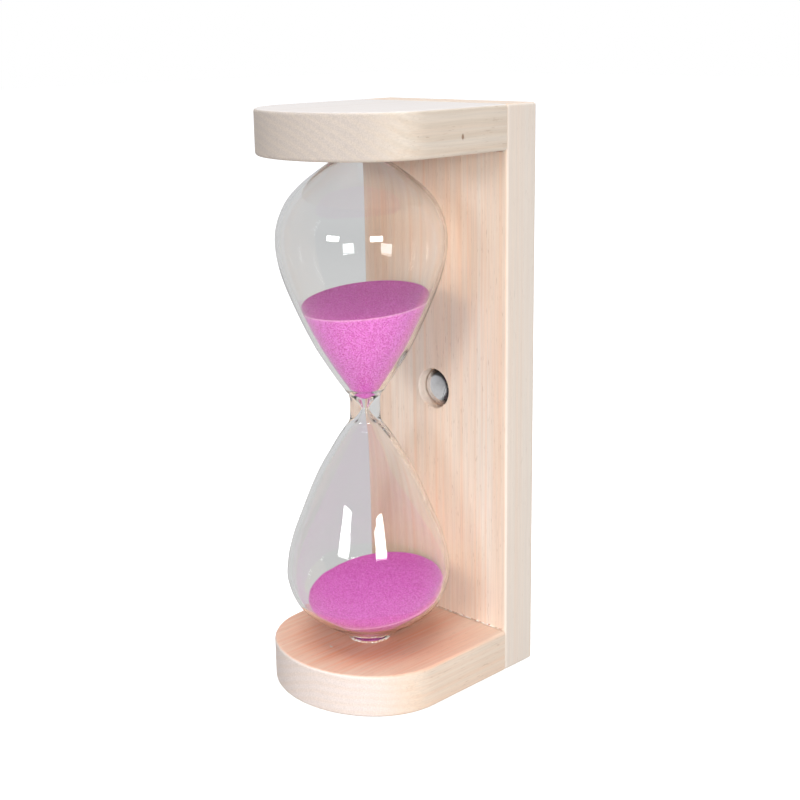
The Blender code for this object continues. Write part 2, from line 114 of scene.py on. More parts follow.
CURVE_SAMPLES = 6                   # points for each stretch between two given ones
BLOWN_UNEVENNESS = 0.00010          # most that the glass is out of round
CAVITY_CORNER = 0.0010
FILL_HOLE_RADIUS = 0.0018
SAND_CLEARANCE = 0.00012            # between the grains and the glass
GRAIN_CELLS = 4200.0                # grains per metre
UPPER_SAND = {"level": 0.1633, "tilt": 7.0}
LOWER_SAND = {"level": 0.0375, "tilt": 13.0}
UPPER_SAND_BOTTOM = 0.0044
SAND_STEPS = 220
SAND_SIDE_ROWS = 70
SAND_TOP_ROWS = 64
SAND_RELIEF = 0.00016
SAND_SIDE_RELIEF = 0.00001
SAND_EDGE_HALVINGS = 40             # of the search for the sand's edge on the glass
GLUE_PROUD = 0.0006                 # how far a glue ring stands out of its pocket
GLUE_LIP_RADIUS = 0.0078
GLUE_FOOT_RADIUS = 0.0074
JOINT_GLUE_THINNEST = 0.00045
JOINT_GLUE_SPREAD = 0.00120         # how much thicker the glue along a joint gets in places
FIBRE_PLACE = Vector((-0.0029, -0.0200, LOWER_FACE))
FIBRE_LENGTH = 0.0034
FIBRE_HALF_WIDTH = 0.00035
FIBRE_LIFT = 0.0007
PITCH_MARK = (0.041, 0.015, 0.229)

# ---- camera and light -------------------------------------------------------------------------------
CAMERA_PLACE = Vector((0.3994, -0.3826, 0.2692))
CAMERA_AZIMUTH = math.radians(44.74)
CAMERA_PITCH = math.radians(14.93)
CAMERA_ROLL = math.radians(-0.904)
CAMERA_LENS = 62.83
SENSOR = 36.0

# Area lights aimed at the glass axis at a height: azimuth from -Y towards +X and elevation in degrees.
LIGHTS = {
    "key_left": {"azimuth": 8.0, "elevation": 16.5, "away": 1.2, "size": (0.34, 0.20), "radiance": 20.0},
    "key_right": {"azimuth": 66.0, "elevation": 16.5, "away": 1.2, "size": (0.34, 0.20), "radiance": 27.0},
    "overhead": {
        "azimuth": 30.0, "elevation": 80.0, "away": 1.4, "size": (0.8, 0.8), "radiance": 5.6,
        "colour": (0.90, 0.95, 1.0),
    },
    "under_fill": {
        "azimuth": 52.0, "elevation": -24.0, "away": 0.50, "size": (0.30, 0.10), "radiance": 4.2,
        "aim": 0.20, "in_view": False,
    },
    "foot_fill": {
        "azimuth": 50.0, "elevation": 6.0, "away": 0.36, "size": (0.30, 0.06), "radiance": 6.5,
        "aim": 0.02, "in_view": False,
    },
}
FLOOR_REACH = 6.0                   # from its middle to its sides
FLOOR_DROP = 0.0005                 # keeps the floor clear of the foot
BACKDROP_WAY = Vector((-0.7, 0.7, -0.1)).normalized()
ROOM_IN_FRONT = (0.22, 0.22, 0.23)
ROOM_BEHIND = (0.66, 0.66, 0.67)
ROOM_BELOW = (0.68, 0.67, 0.66)


# ---- node materials -----------------------------------------------------------------------------
class Nodes:
    """Adds nodes to a tree. A socket or a plain value can be given to any input."""

    def __init__(self, tree):
        self.tree = tree

    def put(self, socket, value):
        if isinstance(value, bpy.types.NodeSocket):
            self.tree.links.new(value, socket)
        else:
            socket.default_value = value

    def node(self, kind, inputs=None, output=0, **settings):
        made = self.tree.nodes.new(kind)
        for key, value in settings.items():
            setattr(made, key, value)
        for key, value in (inputs or {}).items():
            self.put(made.inputs[key], value)
        return made.outputs[output]

    def place(self):
        """Object coordinates: metres in the object's own frame."""
        return self.node("ShaderNodeTexCoord", output="Object")

    def math(self, operation, a, b=0.0):
        return self.node("ShaderNodeMath", {0: a, 1: b}, operation=operation)

    def vector(self, operation, a, b, output=0):
        return self.node("ShaderNodeVectorMath", {0: a, 1: b}, output, operation=operation)

    def scaled(self, vector, scale):
        return self.node("ShaderNodeMapping", {"Vector": vector, "Scale": scale})

    def noise(self, vector, scale, detail=2.0, roughness=0.5, distortion=0.0):
        inputs = {"Vector": vector, "Scale": scale, "Detail": detail}
        inputs.update({"Roughness": roughness, "Distortion": distortion})
        return self.node("ShaderNodeTexNoise", inputs)

    def cells(self, vector, scale, output="Distance"):
        return self.node("ShaderNodeTexVoronoi", {"Vector": vector, "Scale": scale}, output)

    def spread(self, value, low, high, to_low=0.0, to_high=1.0):
        """Maps low..high to to_low..to_high with soft ends."""
        inputs = {"Value": value, "From Min": low, "From Max": high, "To Min": to_low, "To Max": to_high}
        return self.node("ShaderNodeMapRange", inputs, interpolation_type="SMOOTHSTEP")

    def mix(self, share, a, b, blend="MIX"):
        a = a if isinstance(a, bpy.types.NodeSocket) else (*a, 1.0)
        b = b if isinstance(b, bpy.types.NodeSocket) else (*b, 1.0)
        return self.node("ShaderNodeMix", {0: share, 6: a, 7: b}, 2, data_type="RGBA", blend_type=blend)

    def shaded(self, colour, grey):
        """The colour times a grey value."""
        greys = self.node("ShaderNodeCombineXYZ", {0: grey, 1: grey, 2: grey})
        return self.mix(1.0, colour, greys, "MULTIPLY")

    def axis(self, vector, index):
        return self.node("ShaderNodeSeparateXYZ", {0: vector}, index)

    def facing(self, index):
        """1 where the surface is square to an axis, 0 where it runs along it."""
        normal = self.node("ShaderNodeNewGeometry", output="Normal")
        return self.math("ABSOLUTE", self.axis(normal, index))


class Maker(Nodes):
    """Builds one material on its Principled shader."""

    def __init__(self, name):
        self.material = bpy.data.materials.new(name)
        self.material.use_nodes = True
        super().__init__(self.material.node_tree)
        self.shader = self.tree.nodes["Principled BSDF"]

    def bump(self, height, distance, strength=1.0):
        made = self.node("ShaderNodeBump", {"Height": height, "Distance": distance, "Strength": strength})
        self.put(self.shader.inputs["Normal"], made)

    def finish(self, **values):
        for key, value in values.items():
            self.put(self.shader.inputs[key.replace("_", " ")], value)
        return self.material


def painted_glow_top(m, colour, rings_at, drift, stain_and_glow):
    """A warm glow painted on the bottom shelf's upper face round the glass, streaked by the grain.
    It is painted bounced light and shade, not a stain in the wood.

    The last argument gives its colour, and the distances from the Z axis where it is full and where it ends.
    """
    glow_tint, full, outer = stain_and_glow
    from_axis = m.vector("LENGTH", m.scaled(m.place(), (1.0, 1.0, 0.0)), (0, 0, 0), "Value")
    near = m.spread(m.math("ADD", from_axis, m.math("MULTIPLY", drift, 0.012)), outer, full)
    on_top = m.spread(m.axis(m.place(), 2), LOWER_FACE - EDGE_ROUNDING, LOWER_FACE - 0.0002)
    streaks = m.spread(m.noise(rings_at, 760.0, 3.0, 0.7, 0.4), 0.38, 0.64, 0.68, 1.0)
    amount = m.math("MULTIPLY", m.math("MULTIPLY", near, on_top), streaks)
    return m.mix(amount, colour, m.mix(1.0, colour, glow_tint, "MULTIPLY"))


def end_grain(m, colour, place, along, rings, late, end_tone):
    """Dotted rings on the faces that cross the grain."""
    crossing = m.spread(m.facing(along), 0.30, 0.85)
    dots = m.spread(m.noise(place, 2100.0, 2.0, 0.7), 0.35, 0.70, 0.90, 1.06)
    ring_end = m.mix(m.math("MULTIPLY", rings, 0.25), end_tone, late)
    return m.mix(crossing, colour, m.shaded(ring_end, dots))


def pitch_mark(m, colour, fibre, middle):
    """A small brown streak of pitch, longer than it is wide."""
    stretch = (1.0, 1.0, 0.55)
    middle = Vector(middle) * Vector(stretch)
    reach = m.vector("DISTANCE", m.scaled(m.place(), stretch), tuple(middle), "Value")
    stain_and_glow = m.spread(m.math("ADD", reach, m.math("MULTIPLY", fibre, 0.0008)), 0.0012, 0.0007)
    return m.mix(m.math("MULTIPLY", stain_and_glow, 0.75), colour, (0.22, 0.09, 0.03))


def wood(name, along, tones, pith, seed, end_tone=None, mark=None, stain_and_glow=None, painted_top_sheen=None, side_tone=None):
    """Pale sanded wood with the grain along one axis (0, 1 or 2).

    tones are the early wood, the late wood and the warm streaks; pith is the middle of the growth rings.
    The rest is optional: end_tone is the colour of the end grain, mark the middle of a brown pitch streak,
    stain_and_glow that of painted_glow_top (a warm glow of painted light), painted_top_sheen the paler
    colour painted on the face at the very top as a sheen of the light, and side_tone that of the faces
    turned to the left and right.
    """
    m = Maker(name)
    shift = Vector((seed, seed * 0.7, seed * 1.3))
    place = m.node("ShaderNodeMapping", {"Vector": m.place(), "Location": tuple(shift)})

    def stretched(share):
        scale = [1.0, 1.0, 1.0]
        scale[along] = share
        return m.scaled(place, scale)

    rings_at = stretched(0.012)
    middle = Vector(pith) + shift
    middle[along] = 0.0
    drift = m.noise(rings_at, 28.0, 2.0)
    radius = m.vector("DISTANCE", stretched(0.0), tuple(middle), "Value")
    wander = m.math("MULTIPLY", drift, 0.006)
    wave = m.math("SINE", m.math("MULTIPLY", m.math("ADD", radius, wander), math.tau / RING_SPACING))
    rings = m.spread(wave, -0.6, 1.0)

    fibre = m.noise(stretched(0.03), 1500.0, 3.0, 0.6)
    streak = m.spread(m.noise(rings_at, 430.0, 3.0, 0.6, 0.3), 0.46, 0.68)
    broad = m.spread(m.noise(rings_at, 70.0, 2.0), 0.35, 0.68)
    early, late, warm = tones
    colour = m.mix(m.math("MULTIPLY", rings, 0.55), early, late)
    colour = m.mix(m.math("MULTIPLY", streak, 0.42), colour, warm)
    colour = m.mix(m.math("MULTIPLY", broad, 0.30), colour, warm)
    colour = m.shaded(colour, m.spread(fibre, 0.25, 0.75, 0.94, 1.05))

    pores = m.spread(m.noise(stretched(0.10), 2400.0, 1.0), 0.66, 0.78)
    colour = m.mix(m.math("MULTIPLY", pores, 0.35), colour, (0.42, 0.25, 0.14))

    # A warm glow painted round the glass on the bottom shelf's top: painted bounced light and shade.
    if stain_and_glow is not None:
        colour = painted_glow_top(m, colour, rings_at, drift, stain_and_glow)
    if side_tone is not None:
        colour = m.mix(m.math("MULTIPLY", m.spread(m.facing(0), 0.30, 0.85), 0.5), colour, side_tone)
    # The very top face painted paler: a painted sheen of the light falling on it.
    if painted_top_sheen is not None:
        at_top = m.spread(m.axis(m.place(), 2), HEIGHT - 0.0006, HEIGHT - 0.0001)
        colour = m.mix(m.math("MULTIPLY", at_top, 0.55), colour, painted_top_sheen)
    if end_tone is not None:
        colour = end_grain(m, colour, place, along, rings, late, end_tone)
    if mark is not None:
        colour = pitch_mark(m, colour, fibre, mark)

    height = m.math("ADD", m.math("MULTIPLY", fibre, 0.7), m.math("MULTIPLY", rings, -0.25))
    height = m.math("SUBTRACT", height, m.math("MULTIPLY", pores, 0.8))
    m.bump(height, 0.00012, 0.6)
    return m.finish(Base_Color=colour, Roughness=m.spread(fibre, 0.2, 0.8, 0.50, 0.68))


def glass_material():
    """Clear glass whose shadow is light: shadow rays pass with a slight warm loss."""
    m = Maker("blown_glass")
    m.finish(Base_Color=(0.955, 0.965, 0.965, 1.0), Roughness=0.0, IOR=1.48, Transmission_Weight=1.0)
    clear = m.node("ShaderNodeBsdfTransparent", {"Color": (0.80, 0.72, 0.65, 1.0)})
    is_shadow = m.node("ShaderNodeLightPath", output="Is Shadow Ray")
    both = m.node("ShaderNodeMixShader", {0: is_shadow, 1: m.shader.outputs[0], 2: clear})
    output = m.tree.nodes["Material Output"]
    m.tree.links.new(both, output.inputs["Surface"])
    return m.material


def sand_material():
    """Fine dyed grains, each with its own tone: darker on top by painted shade, pale where the rim attribute
    says so.
    """
    m = Maker("pink_sand")
    place = m.place()
    grain = m.cells(place, GRAIN_CELLS, "Color")
    clump = m.noise(place, 1100.0, 2.0, 0.6)
    tone = m.math("ADD", m.math("MULTIPLY", m.axis(grain, 0), 0.94), m.math("MULTIPLY", clump, 0.06))
    colour = m.mix(m.spread(tone, 0.10, 0.90), (0.60, 0.04, 0.46), (1.0, 0.33, 1.0))
    pale = m.spread(m.axis(grain, 1), 0.80, 0.95)
    colour = m.mix(m.math("MULTIPLY", pale, 0.40), colour, (0.96, 0.56, 0.88))
    rim = m.node("ShaderNodeAttribute", output="Fac", attribute_name="rim")
    colour = m.mix(m.math("MULTIPLY", rim, 0.6), colour, (0.98, 0.62, 0.90))
    # Painted shade: faces turned upwards are darkened, for the shade on the sand's free surface.
    upward = m.spread(m.axis(m.node("ShaderNodeNewGeometry", output="Normal"), 2), 0.55, 0.90)
    painted_top_shade = m.mix(1.0, colour, (0.80, 0.54, 0.74), "MULTIPLY")
    colour = m.mix(m.math("MULTIPLY", upward, 0.9), colour, painted_top_shade)
    m.bump(m.math("MULTIPLY", m.cells(place, GRAIN_CELLS), -1.0), 0.0003, 0.6)
    return m.finish(Base_Color=colour, Roughness=0.8)


def glue_material():
    m = Maker("dried_glue")
    place = m.place()
    cloud = m.noise(place, 700.0, 3.0)
    colour = m.mix(m.spread(cloud, 0.35, 0.7), (0.86, 0.76, 0.66), (0.95, 0.90, 0.84))
    # Orange-brown patches in noise-shaped places across the glue.
    brown_patches = m.spread(m.noise(place, 420.0, 3.0, 0.6), 0.47, 0.56)
    colour = m.mix(m.math("MULTIPLY", brown_patches, 0.80), colour, (0.52, 0.23, 0.10))
    m.bump(cloud, 0.0002, 0.5)
    return m.finish(Base_Color=colour, Roughness=0.35, Subsurface_Weight=0.2, Subsurface_Scale=0.002)


def chrome_material():
    """Chrome with faint smears, and a dark reflection painted along the right and upper part of the cap's
    rim.
    """
    m = Maker("polished_chrome")
    place = m.place()
    smear = m.noise(place, 420.0, 3.0, 0.6)
    scratches = m.noise(m.scaled(place, (1.0, 1.0, 9.0)), 900.0, 2.0)
    colour = m.mix(m.spread(smear, 0.4, 0.8), (0.82, 0.82, 0.84), (0.74, 0.74, 0.75))
    aside = m.vector("SUBTRACT", m.scaled(place, (1.0, 0.0, 1.0)), (0, 0, NECK_HEIGHT))
    from_axis = m.vector("LENGTH", aside, (0, 0, 0), "Value")
    rim = m.spread(m.math("ADD", from_axis, m.math("MULTIPLY", smear, 0.0008)), 0.0050, 0.0062)
    # Painted reflection: the right and upper rim painted near black, for the shaded counterbore wall it
    # mirrors.
    right_and_up = m.vector("DOT_PRODUCT", aside, (0.85, 0.0, 0.5), "Value")
    painted_dark_reflection = m.math("MULTIPLY", rim, m.spread(right_and_up, -0.0030, 0.0015))
    colour = m.mix(m.math("MULTIPLY", painted_dark_reflection, 0.95), colour, (0.05, 0.045, 0.04))
    m.bump(scratches, 0.000004, 0.3)
    return m.finish(Base_Color=colour, Metallic=1.0, Roughness=m.spread(smear, 0.3, 0.8, 0.04, 0.14))


def zinc_material():
    m = Maker("zinc_plated_steel")
    place = m.place()
    cloud = m.noise(place, 500.0, 3.0, 0.6)
    colour = m.mix(m.spread(cloud, 0.3, 0.7), (0.62, 0.60, 0.54), (0.76, 0.72, 0.60))
    m.bump(m.noise(place, 3500.0, 2.0), 0.00003, 0.5)
    return m.finish(Base_Color=colour, Metallic=1.0, Roughness=m.spread(cloud, 0.3, 0.7, 0.25, 0.42))


def nylon_material():
    m = Maker("white_nylon")
    place = m.place()
    cloud = m.noise(place, 300.0, 3.0)
    colour = m.mix(m.spread(cloud, 0.3, 0.7), (0.84, 0.83, 0.79), (0.90, 0.89, 0.86))
    m.bump(m.noise(place, 5000.0, 2.0), 0.00003, 0.5)
    return m.finish(Base_Color=colour, Roughness=m.spread(cloud, 0.3, 0.7, 0.42, 0.55))


def stopper_material():
    m = Maker("stopper_rubber")
    place = m.place()
    cloud = m.noise(place, 800.0, 3.0)
    colour = m.mix(m.spread(cloud, 0.3, 0.7), (0.72, 0.70, 0.66), (0.82, 0.80, 0.76))
    m.bump(cloud, 0.00005, 0.5)
    return m.finish(Base_Color=colour, Roughness=0.7)


# ---- mesh helpers -----------------------------------------------------------------------------------
def add_piece(name, bm, mat, body, replaced=None, sharp=35):
    """Makes an object of a bmesh, shaded smooth up to its sharp edges, that rides on a body."""
    bmesh.ops.recalc_face_normals(bm, faces=bm.faces)
    mesh = bpy.data.meshes.new(name)
    bm.to_mesh(mesh)
    bm.free()
    mesh.shade_smooth()
    mesh.set_sharp_from_angle(angle=math.radians(sharp))
    mesh.materials.append(mat)
    piece = bpy.data.objects.new(name, mesh)
    bpy.context.scene.collection.objects.link(piece)
    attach(piece, body)
    if replaced:
        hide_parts(replaced)
    return piece


def lathe(profile, steps, closed=False, wobble=None):
    """A bmesh turned about Z from (radius, z) points in order; wobble(radius, z, angle) adds to a radius."""
    bm = bmesh.new()
    rings = []
    for radius, z in profile:
        if radius < SAME_PLACE:
            rings.append([bm.verts.new((0, 0, z))])
            continue
        ring = []
        for step in range(steps):
            angle = math.tau * step / steps
            out = radius + (wobble(radius, z, angle) if wobble else 0.0)
            ring.append(bm.verts.new((out * math.cos(angle), out * math.sin(angle), z)))
        rings.append(ring)
    pairs = list(zip(rings, rings[1:]))
    if closed:
        pairs.append((rings[-1], rings[0]))
    for one, other in pairs:
        for step in range(steps):
            after = (step + 1) % steps
            corners = [(one, step), (one, after), (other, after), (other, step)]
            face = []
            for ring, place in corners:
                vert = ring[place % len(ring)]
                if vert not in face:
                    face.append(vert)
            if len(face) > 2:
                bm.faces.new(face)
    return bm


def freeze(piece):
    """Applies a piece's modifiers."""
    graph = bpy.context.evaluated_depsgraph_get()
    done = bpy.data.meshes.new_from_object(piece.evaluated_get(graph))
    piece.modifiers.clear()
    piece.data = done


def cut(piece, cutters):
    """Takes the cutters' volumes out of the piece, then removes the cutters."""
    for cutter in cutters:
        modifier = piece.modifiers.new("cut", "BOOLEAN")
        modifier.operation = "DIFFERENCE"
        modifier.solver = "EXACT"
        modifier.object = cutter
    bpy.context.view_layer.update()
    freeze(piece)
    for cutter in cutters:
        bpy.data.objects.remove(cutter, do_unlink=True)


def tool(name, bm, matrix=None):
    bmesh.ops.recalc_face_normals(bm, faces=bm.faces)
    mesh = bpy.data.meshes.new(name)
    bm.to_mesh(mesh)
    bm.free()
    if matrix is not None:
        mesh.transform(matrix)
    made = bpy.data.objects.new(name, mesh)
    bpy.context.scene.collection.objects.link(made)
    return made


def even_shading(piece):
    """Weights the normals by face area, so that flat faces stay flat beside their rounded edges."""
    modifier = piece.modifiers.new("even_shading", "WEIGHTED_NORMAL")
    modifier.keep_sharp = True
    freeze(piece)


# ---- wooden frame -----------------------------------------------------------------------------------
def round_edges(bm, edges):
    bmesh.ops.bevel(bm, geom=edges, offset=EDGE_ROUNDING, segments=4, profile=0.5, affect="EDGES")


def shelf_outline(steps):
    rear = BOARD_FRONT - GAP
    shoulder = BOARD_FRONT - SHELF_STRAIGHT
    nose = SHELF_NOSE + shoulder
    points = [(-HALF_WIDTH, rear), (HALF_WIDTH, rear)]
    for step in range(steps + 1):
        angle = math.pi * step / steps
        points.append((HALF_WIDTH * math.cos(angle), shoulder - nose * math.sin(angle)))
    return points


def screw_hole(screw, matrix):
    """Cutter in the outline of a screw whose head's face lies at z = 0, larger by the clearance."""
    cone = screw["head"] + SCREW_CLEARANCE
    shank = screw["radius"] + SCREW_CLEARANCE
    end = -screw["length"] - SCREW_CLEARANCE
    profile = [(0.0, OVERSHOOT), (cone, OVERSHOOT), (cone, -HEAD_EDGE), (shank, -HEAD_EDGE - cone + shank)]
    profile += [(shank, end), (0.0, end)]
    return tool("screw_hole", lathe(profile, 48), matrix)


def shelf_screw_places():
    """Matrices of the four shelf screws, numbered from 1."""
    places = {}
    for number in range(1, 5):
        low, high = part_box(f"shelf_screw_{number}")
        middle = (low + high) / 2
        turn = Matrix.Rotation(math.radians(-90), 4, "X")
        places[number] = Matrix.Translation((middle.x, high.y, middle.z)) @ turn
    return places


def pivot_place(y):
    return Matrix.Translation((0, y, NECK_HEIGHT)) @ Matrix.Rotation(math.radians(90), 4, "X")


def counterbore_tool():
    mouth = COUNTERBORE_RADIUS + COUNTERBORE_CHAMFER
    above = COUNTERBORE_DEPTH + OVERSHOOT
    shoulder = COUNTERBORE_DEPTH - COUNTERBORE_CHAMFER
    profile = [(0.0, 0.0), (COUNTERBORE_RADIUS, 0.0), (COUNTERBORE_RADIUS, shoulder)]
    profile += [(mouth, COUNTERBORE_DEPTH), (mouth, above), (0.0, above)]
    return tool("counterbore", lathe(profile, 96), pivot_place(SEAT))


def make_board(mat):
    bm = bmesh.new()
    bmesh.ops.create_cube(bm, size=1.0)
    bmesh.ops.scale(bm, vec=(HALF_WIDTH * 2, STOCK, HEIGHT), verts=bm.verts)
    round_edges(bm, bm.edges[:])
    bmesh.ops.translate(bm, vec=(0, BOARD_FRONT + STOCK / 2, MID_HEIGHT), verts=bm.verts)
    board = add_piece("board_planed", bm, mat, "frame", "back_board")
    holes = [screw_hole(SHELF_SCREW, place) for place in shelf_screw_places().values()]
    holes += [counterbore_tool(), screw_hole(PIVOT_SCREW, pivot_place(PIVOT_LOW.y))]
    cut(board, holes)
    even_shading(board)


def make_shelf(name, low, replaced, face_height, into_shelf, mat):
    bm = bmesh.new()
    face = bm.faces.new([bm.verts.new((x, y, low)) for x, y in shelf_outline(96)])
    raised = bmesh.ops.extrude_face_region(bm, geom=[face])
    verts = [item for item in raised["geom"] if isinstance(item, bmesh.types.BMVert)]
    bmesh.ops.translate(bm, vec=(0, 0, STOCK), verts=verts)
    rear = BOARD_FRONT - GAP

    def is_rim(edge):
        level = abs(edge.verts[0].co.z - edge.verts[1].co.z) < SAME_PLACE
        at_rear = all(abs(vert.co.y - rear) < SAME_PLACE for vert in edge.verts)
        return level and not at_rear

    round_edges(bm, [edge for edge in bm.edges if is_rim(edge)])
    shelf = add_piece(name, bm, mat, "frame", replaced)
    inside = [place for place in shelf_screw_places().values() if low < place.translation.z < low + STOCK]
    cut(shelf, [pocket_tool(face_height, into_shelf)] + [screw_hole(SHELF_SCREW, place) for place in inside])
    even_shading(shelf)


def pocket_tool(face_height, into_shelf):
    mouth = face_height - into_shelf * OVERSHOOT
    floor = face_height + into_shelf * POCKET_DEPTH
    profile = [(0.0, mouth), (POCKET_RADIUS, mouth), (POCKET_RADIUS, floor), (0.0, floor)]
    return tool("pocket", lathe(profile, 96))


# ---- sand glass -------------------------------------------------------------------------------------
def smooth_curve(points):
    """A Catmull-Rom curve through the points, which starts level with its mirror image in the neck."""
    first = Vector((-points[1][0], points[1][1]))
    knots = [first] + [Vector(point) for point in points]
    knots.append(knots[-1] * 2 - knots[-2])
    curve = []
    for a, b, c, d in zip(knots, knots[1:], knots[2:], knots[3:]):
        bend = 2 * a - 5 * b + 4 * c - d
        twist = 3 * b - a - 3 * c + d
        for step in range(CURVE_SAMPLES):
            t = step / CURVE_SAMPLES
            curve.append(b + ((c - a) * t + bend * t**2 + twist * t**3) / 2)
    curve.append(knots[-2])
    return curve


def wall_at(height):
    for (low, thick), (high, thin) in zip(WALL, WALL[1:]):
        if height <= high:
            share = (height - low) / (high - low)
            return thick + (thin - thick) * share
    return WALL[-1][1]


def bulb_outer(bulb):
    return smooth_curve(bulb[:-1]) + [Vector(bulb[-1])]


def bulb_inner(bulb, extra=0.0):
    """The cavity of one bulb as (height, radius), set in by the wall and by an extra clearance."""
    outer = smooth_curve(bulb[:-1])
    inner = []
    for index, point in enumerate(outer):
        before = outer[max(index - 1, 0)]
        after = outer[min(index + 1, len(outer) - 1)]
        along = (after - before).normalized()
        if index == 0:
            along = Vector((1, 0))
        inward = Vector((along.y, -along.x))
        inner.append(point + inward * (wall_at(point.x) + extra))
    closed_end = bulb[-1][0]
    end = closed_end - wall_at(closed_end) - extra
    inner = [point for point in inner if point.x < end - GAP]
    inner.append(Vector((end, inner[-1].y - CAVITY_CORNER)))
    return inner


def blown(radius, z, angle):
    """Slight unevenness of a hand-blown wall."""
    spot = Vector((math.cos(angle) * radius, math.sin(angle) * radius, z)) * 26.0
    return noise.noise(spot) * min(radius * 0.006, BLOWN_UNEVENNESS)


def make_glass(mat):
    upper_end = NECK_HEIGHT + UPPER_BULB[-1][0]
    upper_inner = bulb_inner(UPPER_BULB)
    lower_inner = bulb_inner(LOWER_BULB)
    profile = [(0.0, NECK_HEIGHT - LOWER_BULB[-1][0])]
    profile += [(p.y, NECK_HEIGHT - p.x) for p in reversed(bulb_outer(LOWER_BULB))]
    profile += [(p.y, NECK_HEIGHT + p.x) for p in bulb_outer(UPPER_BULB)[1:]]
    profile += [(FILL_HOLE_RADIUS, upper_end), (FILL_HOLE_RADIUS, NECK_HEIGHT + upper_inner[-1].x)]
    profile += [(p.y, NECK_HEIGHT + p.x) for p in reversed(upper_inner)]
    profile += [(p.y, NECK_HEIGHT - p.x) for p in lower_inner[1:]]
    profile.append((0.0, NECK_HEIGHT - lower_inner[-1].x))
    bm = lathe(profile, 128, wobble=blown)
    add_piece("blown_sand_glass", bm, mat, "frame", "hourglass_glass", sharp=50)


def wall_radius(cavity, height):
    """Radius of a cavity, given as (height, radius) points in rising order, at a height."""
    for low, high in zip(cavity, cavity[1:]):
        if low.x <= height <= high.x:
            return low.y + (high.y - low.y) * (height - low.x) / (high.x - low.x)
    return cavity[0].y if height < cavity[0].x else cavity[-1].y


def grains(at, depth):
    """Height of the sand's rough surface at a point."""
    fine = noise.noise(at * 900.0) * 0.6 + noise.noise(at * 2100.0 + Vector((7, 7, 7))) * 0.4
    broad = noise.noise(at * 70.0)
    return fine * depth + broad * depth * 1.6


def round_steps():
    """Angle of every step round the sand."""
    return [math.tau * step / SAND_STEPS for step in range(SAND_STEPS)]


def sand_edge(cavity, level, slope):
    """Height at which the tilted surface meets the glass, for every step round the sand."""
    heights = []
    for angle in round_steps():
        low, high = cavity[0].x, cavity[-1].x
        for _ in range(SAND_EDGE_HALVINGS):
            middle = (low + high) / 2
            surface = level + slope * wall_radius(cavity, middle) * math.sin(angle)
            low, high = (middle, high) if middle < surface else (low, middle)
        heights.append((low + high) / 2)
    return heights


def sand_rings(bm, cavity, level, slope):
    """Rings of vertices from the foot up along the glass, then inwards over the surface."""
    foot = cavity[0].x
    edge = sand_edge(cavity, level, slope)
    rings = []
    for row in range(1, SAND_SIDE_ROWS + 1):
        ring = []
        for angle, top in zip(round_steps(), edge):
            z = foot + (top - foot) * row / SAND_SIDE_ROWS
            radius = wall_radius(cavity, z)
            at = Vector((radius * math.cos(angle), radius * math.sin(angle), z))
            radius -= max(0.0, grains(at, SAND_SIDE_RELIEF) + SAND_SIDE_RELIEF)
            ring.append(bm.verts.new((radius * math.cos(angle), radius * math.sin(angle), z)))
        rings.append(ring)
    for row in range(1, SAND_TOP_ROWS):
        share = 1.0 - row / SAND_TOP_ROWS
        ring = []
        for angle, top in zip(round_steps(), edge):
            radius = wall_radius(cavity, top) * share
            at = Vector((radius * math.cos(angle), radius * math.sin(angle), 0))
            rough = grains(at + Vector((0, 0, level)), SAND_RELIEF) * min(1.0, row / 3)
            ring.append(bm.verts.new((at.x, at.y, level + slope * at.y + rough)))
        rings.append(ring)
    return rings


def make_sand(name, replaced, cavity, heap, mat):
    """Fills a cavity, given as (z, radius) points from its foot up, to a tilted rough surface."""
    level = heap["level"]
    slope = math.tan(math.radians(heap["tilt"]))
    bm = bmesh.new()
    rings = sand_rings(bm, cavity, level, slope)
    middle = bm.verts.new((0, 0, level + grains(Vector((0, 0, level)), SAND_RELIEF)))
    bottom = bm.verts.new((0, 0, cavity[0].x))
    for one, other in zip(rings, rings[1:]):
        for step in range(SAND_STEPS):
            after = (step + 1) % SAND_STEPS
            bm.faces.new((one[step], one[after], other[after], other[step]))
    for step in range(SAND_STEPS):
        after = (step + 1) % SAND_STEPS
        bm.faces.new((rings[-1][step], rings[-1][after], middle))
        bm.faces.new((rings[0][after], rings[0][step], bottom))
    bm.verts.index_update()
    paleness = {SAND_SIDE_ROWS - 2: 0.35, SAND_SIDE_ROWS - 1: 1.0, SAND_SIDE_ROWS: 0.5}
    shares = [0.0] * len(bm.verts)
    for row, share in paleness.items():
        for vert in rings[row]:
            shares[vert.index] = share
    piece = add_piece(name, bm, mat, "frame", replaced, sharp=180)
    rim = piece.data.attributes.new("rim", "FLOAT", "POINT")
    rim.data.foreach_set("value", shares)


def upper_cavity():
    """Room for the upper sand, as (z, radius) from its foot in the neck up."""
    inner = bulb_inner(UPPER_BULB, SAND_CLEARANCE)
    cavity = [Vector((NECK_HEIGHT + p.x, p.y)) for p in inner if p.x > UPPER_SAND_BOTTOM + GAP]
    return [Vector((NECK_HEIGHT + UPPER_SAND_BOTTOM, cavity[0].y * 0.8))] + cavity


def lower_cavity():
    """Room for the lower sand, as (z, radius) from the bulb's floor up."""
    return [Vector((NECK_HEIGHT - p.x, p.y)) for p in reversed(bulb_inner(LOWER_BULB, SAND_CLEARANCE))]


